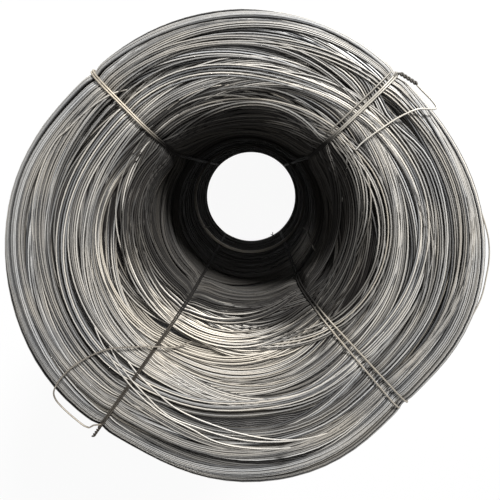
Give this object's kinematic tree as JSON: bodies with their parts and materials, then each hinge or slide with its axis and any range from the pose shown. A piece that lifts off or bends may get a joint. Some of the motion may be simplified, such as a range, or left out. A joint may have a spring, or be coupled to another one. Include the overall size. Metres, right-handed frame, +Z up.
{
  "type": "coil of steel wire",
  "caption": "Heavy coil of drawn steel wire with an open bore, standing on its end and held by doubled wire ties round its section.",
  "frame": {"origin": "on the floor, under the middle of the outer wall; the bore stands 70 mm from it towards +Y", "axes": "+Z up along the bore; +X and +Y to the right and the top of the picture, which looks down on the coil"},
  "size_m": [0.7, 0.7, 0.6838],
  "materials": {
    "coil_wire": "drawn, dull grey with a faint bronze cast",
    "tie_wire": "soft annealed wire, brownish grey"
  },
  "bodies": {
    "root": {"coil": "coil_wire", "tie_upper_right": "tie_wire", "tie_upper_left": "tie_wire", "tie_lower_left": "tie_wire", "tie_lower_right": "tie_wire"}
  },
  "joints": []
}
